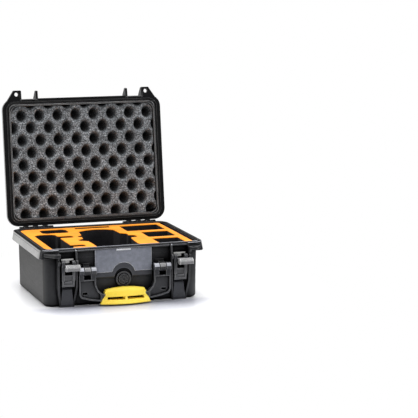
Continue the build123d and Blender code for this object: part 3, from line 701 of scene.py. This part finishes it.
# ============================================================== base foam
# (x, y) outlines of the two shaped wells, mm
DRONE = [
    (-45, -101.5), (41.5, -101.5), (35.5, -89.5), (36.5, -62), (38.5, -36), (40.5, -29.5),
    (49, -28.5), (54, -23.5), (55.5, -15.5), (54, -7.5), (48.5, -3.5), (42, -2), (43.7, 1.5),
    (44, 14.5), (33.5, 23.5), (32.5, 44), (31.5, 61), (25.5, 66.5), (17, 72), (7, 75),
    (-3.5, 76), (-14.5, 74), (-24.5, 70), (-33, 64.5), (-38, 59), (-40, 38.5), (-42, 22.5),
    (-50.5, 15.5), (-52.5, 10.5), (-51, 5.5), (-47, 0.5), (-47.5, -10.5), (-52.5, -16.5),
    (-59, -20), (-61, -26.5), (-59, -35), (-51.5, -39), (-46, -43), (-45, -64.5),
]
REMOTE = [
    (-128, -103.5), (-87, -103.5), (-87, -88.5), (-64, -88.5), (-61.5, -85), (-61.5, -74),
    (-64, -70.5), (-87, -70.5), (-87, 4), (-63, 4), (-60, 7.5), (-60, 20), (-63, 23.5),
    (-87, 23.5), (-87.5, 40.5), (-92.5, 46), (-100.5, 49), (-114.5, 49), (-122, 46),
    (-128, 40.5),
]
# outline, corner radius, floor height, mm
SHAPED_WELLS = [(DRONE, 2.2, 28.0), (REMOTE, 2.0, 38.0)]
# half x, half y, corner radius, steps per corner, centre x, centre y, floor height, mm
BOX_WELLS = [
    (26.0, 20.0, 10.0, 6, -81.0, 76.0, 48.0),
    (34.5, 8.0, 1.2, 3, -1.0, 95.0, 62.0),
    (37.9, 29.5, 2.5, 4, 89.9, 64.5, 34.0),
    (26.5, 27.75, 2.5, 4, 99.5, -8.25, 34.0),
    (25.25, 25.5, 2.5, 4, 98.25, -78.0, 34.0),
]
FOAM_CORNER = 14.7  # mm, plan radius of the foam's corners
FOAM_GAP = 0.02     # mm, between sheet and core, and between their well walls


def base_foam():
    """The amber face sheet, cut right through, over the black core with its wells."""
    wells = [dedupe(resample(fillet(loop, radius, steps=3)))
             for loop, radius, _ in SHAPED_WELLS]
    wells += [dedupe(resample(rounded_box(*well[:-1]))) for well in BOX_WELLS]
    floors = [well[-1] for well in SHAPED_WELLS + BOX_WELLS]
    sheet_low, sheet_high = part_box("foam_top_sheet")
    core_low, core_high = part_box("foam_core")
    outline = rounded_box(-sheet_low.x / MM, sheet_high.y / MM, FOAM_CORNER, steps=8)

    # the sheet stops short on the right
    trimmed = [(min(x, sheet_high.x / MM), y) for x, y in outline]
    sheet = slab("amber_face", dedupe(resample(trimmed), gap=0.3), wells, [None] * len(wells),
                 top=sheet_high.z / MM, bottom=sheet_low.z / MM, lip=0.35, outer_lip=0.8,
                 material=AMBER_FOAM)
    hand_over(sheet, "foam_top_sheet", "base")

    core = slab("black_core", dedupe(resample(outline)),
                [offset(well, FOAM_GAP) for well in wells], floors,
                top=sheet_low.z / MM - FOAM_GAP, bottom=core_low.z / MM + 0.1,
                lip=0.05, outer_lip=0.05, material=BLACK_FOAM)
    # the lower edge follows the tub's floor radius
    for vertex in core.data.vertices:
        if vertex.co.z < core_low.z + 0.0005:
            vertex.co.x *= (core_high.x - 0.0072) / core_high.x
            vertex.co.y *= (core_high.y - 0.0075) / core_high.y
    core.data.update()
    hand_over(core, "foam_core", "base")


base_foam()

# ============================================================= lid lining
# mm, with the lid closed: the lining hangs from BACKING_Z down to its peaks
LINING_X, LINING_Y, LINING_CORNER = 141.3, 107.2, 14.4  # half sizes, corner radius
PEAK_Z, BACKING_Z = 110.9, 143.0
PITCH_X, PITCH_Y = 35.85, 47.65
FIRST_X, FIRST_Y = -13.2, 6.15          # centre of one hollow
HOLLOW_X, HOLLOW_Y = 11.4, 13.9         # half sizes of a hollow
HOLLOW_DEPTH, CREST = 27.0, 1.6         # CREST is the part of the depth at the hollow's brim
CELLS_X, CELLS_Y = 184, 140
SIDE_INSETS = [0.0, 0.3, 0.9, 2.2]      # of the side rings, on the way to the backing


def hollow(x, y):
    """0 on the peaks, 1 in the middle of a hollow; hollows stand in staggered rows."""
    drift_x = 0.8 * noise.noise(Vector((x * 0.02, y * 0.02, 3.1)))
    drift_y = 0.8 * noise.noise(Vector((x * 0.02, y * 0.02, 7.7)))
    distances = []
    for stagger in (0.0, 0.5):
        column = (x - FIRST_X + drift_x) / PITCH_X - stagger
        row = (y - FIRST_Y + drift_y) / PITCH_Y - stagger
        distances.append(math.hypot((column - round(column)) * PITCH_X / HOLLOW_X,
                                    (row - round(row)) * PITCH_Y / HOLLOW_Y))
    return max(0.0, 1.0 - min(distances))


def lining_z(x, y):
    inside = hollow(x, y)
    slope = min(1.0, inside / 0.80)
    deep = slope * slope * (3 - 2 * slope)
    crest = CREST * (0.5 - 0.5 * math.cos(math.pi * min(1.0, inside / 0.3)))
    wobble = (0.6 * noise.noise(Vector((x * 0.09, y * 0.09, 1.3)))
              + 0.3 * noise.noise(Vector((x * 0.45, y * 0.45, 5.0))))
    return PEAK_Z + crest + (HOLLOW_DEPTH - CREST) * deep + wobble * 0.8


def lining_half_width(y):
    """Half the width at y, narrowing round the corners."""
    into_corner = abs(y) - (LINING_Y - LINING_CORNER)
    if into_corner <= 0:
        return LINING_X
    return LINING_X - LINING_CORNER + math.sqrt(max(0.0, LINING_CORNER ** 2 - into_corner ** 2))


def egg_crate():
    """Convoluted foam: broad soft webs, deep round hollows in staggered rows."""
    points, faces, pits = [], [], []

    def add(x, y, z):
        points.append(tuple(LID @ Vector((x * MM, y * MM, z * MM))))
        # painted shade: how deep the point lies in its hollow, for the foam to darken there
        pits.append(max(0.0, min(1.0, (z - PEAK_Z - 3.0) / (HOLLOW_DEPTH - 6.0))))
        return len(points) - 1

    spots, grid = [], []
    for j in range(CELLS_Y + 1):
        y = -LINING_Y + 2 * LINING_Y * j / CELLS_Y
        # the end rows stay just inside the outline
        y = max(-LINING_Y + 1e-3, min(LINING_Y - 1e-3, y))
        width = lining_half_width(y)
        row = [(-width + 2 * width * i / CELLS_X, y) for i in range(CELLS_X + 1)]
        spots.append(row)
        grid.append([add(x, y, lining_z(x, y)) for x, y in row])
    for j in range(CELLS_Y):
        for i in range(CELLS_X):
            faces.append((grid[j][i], grid[j + 1][i], grid[j + 1][i + 1], grid[j][i + 1]))

    # sides, from the border of the grid to the backing
    border = (
        [(j, 0) for j in range(CELLS_Y + 1)]
        + [(CELLS_Y, i) for i in range(1, CELLS_X + 1)]
        + [(j, CELLS_X) for j in range(CELLS_Y - 1, -1, -1)]
        + [(0, i) for i in range(CELLS_X - 1, 0, -1)]
    )
    last = [grid[j][i] for j, i in border]
    for k, inset in enumerate(SIDE_INSETS, start=1):
        ring = []
        for j, i in border:
            x, y = spots[j][i]
            z = lining_z(x, y)
            z += (BACKING_Z - z) * k / len(SIDE_INSETS)
            ring.append(add(x * (1 - inset / LINING_X), y * (1 - inset / LINING_Y), z))
        for i in range(len(ring)):
            j = (i + 1) % len(ring)
            faces.append((last[i], ring[i], ring[j], last[j]))
        last = ring
    faces.append(tuple(last))
    obj = new_object("egg_crate_lining", points, faces, GREY_FOAM, sharp_angle=75)
    # painted shade: the depth in each hollow, stored for the foam material to darken
    hollow_shade = obj.data.attributes.new("hollow_shade", "FLOAT", "POINT")
    hollow_shade.data.foreach_set("value", pits)
    clean_up(obj)
    return obj


hand_over(egg_crate(), "lid_foam", "lid")

# ============================================================== hand grip
# mm; "across" runs from -1 to 1 over the grip's width, "rise" from 0 to 1 over its height
GRIP_LOW, GRIP_HIGH = 3.0, 32.0
SLOT_LOW, SLOT_MID, SLOT_HIGH = 10.6, 13.2, 15.8
GRIP_HEIGHTS = [GRIP_LOW, 4.0, 5.8, 7.6, 9.2, SLOT_LOW, SLOT_MID, SLOT_HIGH, 17.0, 18.2,
                20.5, 23.0, 25.5, 28.0, 30.2, GRIP_HIGH]
# (rise, y) of the front and back faces on the centre line
GRIP_FRONT = [(0.0, -136.9), (0.04, -137.5), (0.12, -136.2), (0.25, -134.0), (0.42, -131.8),
              (0.6, -130.2), (0.8, -128.6), (0.92, -127.3), (1.0, -125.6)]
GRIP_BACK = [(0.0, -123.8), (0.25, -119.6), (0.6, -117.6), (1.0, -117.4)]


def grip_half_width(z):
    """Tapers upwards as far as z = 28.2."""
    return 47.3 - (min(z, 28.2) - GRIP_LOW) * (10.2 / 25.2)


# inner and outer ends of the two slots, across
SLOT_INNER = 2.6 / grip_half_width(SLOT_MID)
SLOT_OUTER = 34.4 / grip_half_width(SLOT_MID)


def profile_y(profile, rise):
    for (low, y_low), (high, y_high) in zip(profile, profile[1:]):
        if rise <= high:
            return y_low + (y_high - y_low) * (rise - low) / (high - low)


def grip_point(across, z, is_back):
    rise = (z - GRIP_LOW) / (GRIP_HIGH - GRIP_LOW)
    if is_back:
        y = profile_y(GRIP_BACK, rise)
    else:
        # the ends curve back, most at the lower lip
        y = profile_y(GRIP_FRONT, rise) + 8.6 * (1 - rise) ** 1.1 * across * across
        y += 1.2 * (across * across) * rise
        # raised pad
        if 0.48 < rise < 0.92 and abs(across) < 0.9:
            y -= 0.8
    # the top edge is domed
    top = z if z <= 25.0 else 25.0 + (z - 25.0) * (1 - 0.54 * abs(across) ** 2.2)
    return across * grip_half_width(z) * MM, y * MM, top * MM


def grip_mesh():
    """Over-moulded grip: slim at the top, kicked forward and bowed at the lower lip, with a
    raised pad and two slots."""
    half = sorted({0.0, SLOT_INNER, SLOT_OUTER, 0.86, 0.93, 1.0}
                  | {SLOT_INNER + (SLOT_OUTER - SLOT_INNER) * k / 9 for k in range(1, 9)})
    stations = [-across for across in reversed(half[1:])] + half
    points, faces = [], []
    numbers, edges = {}, {}

    def number(i, j, is_back):
        key = (i, j, is_back)
        if key not in numbers:
            numbers[key] = len(points)
            points.append(grip_point(stations[i], GRIP_HEIGHTS[j], is_back))
        return numbers[key]

    def in_slot(i, j):
        across = 0.5 * (stations[i] + stations[i + 1])
        z = 0.5 * (GRIP_HEIGHTS[j] + GRIP_HEIGHTS[j + 1])
        return SLOT_LOW < z < SLOT_HIGH and SLOT_INNER < abs(across) < SLOT_OUTER

    for i in range(len(stations) - 1):
        for j in range(len(GRIP_HEIGHTS) - 1):
            if in_slot(i, j):
                continue
            corners = [(i, j), (i, j + 1), (i + 1, j + 1), (i + 1, j)]
            faces.append(tuple(number(*corner, False) for corner in corners))
            faces.append(tuple(number(*corner, True)
                               for corner in corners[:1] + corners[:0:-1]))
            for a, b in zip(corners, corners[1:] + corners[:1]):
                edges.setdefault(frozenset((a, b)), []).append((a, b))
    # bridge front and back along the edges used once: the outline and the slots
    for uses in edges.values():
        if len(uses) == 1:
            a, b = uses[0]
            faces.append((number(*b, False), number(*a, False),
                          number(*a, True), number(*b, True)))
    obj = new_object("grip_overmould", points, faces, GRIP, sharp_angle=60)
    clean_up(obj)
    bevel = obj.modifiers.new("soften", "BEVEL")
    bevel.width = 0.0011
    bevel.segments = 3
    bevel.limit_method = "ANGLE"
    bevel.angle_limit = math.radians(38)
    return obj


hand_over(grip_mesh(), "handle_grip", "handle")


# ================================================================= studio
def floor_paper():
    """White paper that is shaded near the case and glows pure white away from it."""
    mat = Shader("floor_paper")
    shade = mat.ramp(mat.cavity(reach=0.13), [(0.40, (0.34, 0.35, 0.41)),
                                              (0.75, (0.62, 0.63, 0.69)), (0.99, (1, 1, 1))])
    # the shade is full in front of the case and faint to its sides and behind its front
    place = mat.new("ShaderNodeSeparateXYZ")
    mat.link(mat.place, place.inputs[0])
    x, y = place.outputs["X"], place.outputs["Y"]
    left = mat.smoothstep(x, start=-0.23, end=-0.13, low=0.12)
    front = mat.smoothstep(y, start=-0.10, end=-0.13, low=0.12)
    right = mat.smoothstep(x, start=0.19, end=0.13, low=0.15)
    where = mat.times(mat.times(left, front), right)
    shade = mat.mix(where, (1.0, 1.0, 1.0), shade)
    paper = mat.ramp(mat.noise(scale=3.0, detail=3, rough=0.5),
                     [(0.3, (0.93, 0.93, 0.945)), (0.7, (0.95, 0.95, 0.96))])
    mat.set("Base Color", mat.tint(paper, shade))
    mat.set("Roughness", 0.32)
    mat.set("Specular IOR Level", 0.3)

    # distance from the middle of the case, on the floor
    distance = mat.new("ShaderNodeVectorMath", operation="LENGTH")
    mat.link(mat.mapped((1.0, 1.0, 0.0)), distance.inputs[0])
    fade = mat.smoothstep(distance.outputs["Value"], start=0.22, end=0.42)
    glow = mat.new("ShaderNodeEmission")
    mat.link(shade, glow.inputs["Color"])
    # what the case itself sees of the paper: bright to the left and behind, dim in front
    place = mat.new("ShaderNodeSeparateXYZ")
    mat.link(mat.place, place.inputs[0])
    back_left = mat.weighted(place.outputs["X"], -0.8, place.outputs["Y"], 0.6)
    lit = mat.smoothstep(back_left, start=-0.02, end=0.38, low=0.10, high=0.95)
    ray = mat.new("ShaderNodeLightPath")
    mat.link(mat.math("MAXIMUM", ray.outputs["Is Camera Ray"], lit), glow.inputs["Strength"])
    mix = mat.new("ShaderNodeMixShader")
    for socket, source in enumerate((fade, mat.bsdf.outputs[0], glow.outputs[0])):
        mat.link(source, mix.inputs[socket])
    mat.link(mix.outputs[0], mat.output.inputs[0])
    return mat.material


def floor(radius=40, sides=96):
    mesh = bpy.data.meshes.new("floor")
    turns = [2 * math.pi * i / sides for i in range(sides)]
    points = [(0, 0, 0)] + [(radius * math.cos(t), radius * math.sin(t), 0) for t in turns]
    mesh.from_pydata(points, [], [(0, 1 + i, 1 + (i + 1) % sides) for i in range(sides)])
    obj = bpy.data.objects.new("floor", mesh)
    SCENE.collection.objects.link(obj)
    mesh.materials.append(floor_paper())


floor()

# name, place, point it faces, size, watts
LIGHTS = [
    ("key_left", (-1.7, 0.5, 1.5), (0, 0, 0.12), (1.0, 1.0), 22),
    ("top", (0.1, 0.0, 2.2), (0, 0, 0.1), (1.5, 1.5), 44),
    ("front_strip", (0.5, -2.4, 1.7), (0, 0, 0.1), (1.4, 0.35), 20),
    ("right_fill", (1.8, -0.9, 0.7), (0.05, 0, 0.08), (0.5, 0.8), 12),
    ("front_spot", (-0.9, -2.0, 1.0), (0, 0, 0.1), (0.25, 0.25), 4.5),
]
for name, place, target, size, watts in LIGHTS:
    light = bpy.data.lights.new(name, "AREA")
    light.shape = "RECTANGLE"
    light.size, light.size_y = size
    light.energy = watts
    lamp = bpy.data.objects.new(name, light)
    SCENE.collection.objects.link(lamp)
    lamp.location = place
    aim = Vector(target) - Vector(place)
    lamp.rotation_euler = aim.to_track_quat("-Z", "Y").to_euler()


def studio_world():
    """White to the camera; for other rays bright behind the case and dim in front."""
    world = bpy.data.worlds.new("studio")
    SCENE.world = world
    world.use_nodes = True
    nodes, link = world.node_tree.nodes, world.node_tree.links.new
    nodes.clear()
    output = nodes.new("ShaderNodeOutputWorld")
    background = nodes.new("ShaderNodeBackground")
    geometry_info = nodes.new("ShaderNodeNewGeometry")
    direction = nodes.new("ShaderNodeSeparateXYZ")
    link(geometry_info.outputs["Incoming"], direction.inputs[0])
    # Incoming points from the sky back to the viewer, so y < 0 is the side behind the case
    level = nodes.new("ShaderNodeMapRange")
    for name, value in (("From Min", -0.35), ("From Max", 0.35),
                        ("To Min", 0.95), ("To Max", 0.20)):
        level.inputs[name].default_value = value
    link(direction.outputs["Y"], level.inputs["Value"])
    ray = nodes.new("ShaderNodeLightPath")
    choice = nodes.new("ShaderNodeMix")
    choice.data_type = "FLOAT"
    # sockets 2 and 3 are the values for other rays and for camera rays
    link(ray.outputs["Is Camera Ray"], choice.inputs[0])
    link(level.outputs[0], choice.inputs[2])
    choice.inputs[3].default_value = 1.0
    link(choice.outputs[0], background.inputs["Strength"])
    background.inputs["Color"].default_value = (1.0, 1.0, 1.0, 1)
    link(background.outputs[0], output.inputs[0])


studio_world()

# yaw turns from +Y towards +X, pitch looks down
CAMERA_PLACE = (-0.8628, -3.0640, 0.6768)
YAW, PITCH, ROLL = math.radians(19.194), math.radians(9.310), math.radians(0.092)


def add_camera():
    ahead = Vector((math.sin(YAW) * math.cos(PITCH), math.cos(YAW) * math.cos(PITCH),
                    -math.sin(PITCH)))
    level = Vector((math.cos(YAW), -math.sin(YAW), 0))
    upright = level.cross(ahead)
    right = level * math.cos(ROLL) + upright * math.sin(ROLL)
    up = upright * math.cos(ROLL) - level * math.sin(ROLL)
    data = bpy.data.cameras.new("camera")
    data.sensor_width = 36.0
    data.lens = 148.5904306
    data.clip_end = 100
    camera = bpy.data.objects.new("camera", data)
    SCENE.collection.objects.link(camera)
    turn = Matrix((right, up, -ahead)).transposed().to_4x4()
    camera.matrix_world = Matrix.Translation(CAMERA_PLACE) @ turn
    SCENE.camera = camera


add_camera()
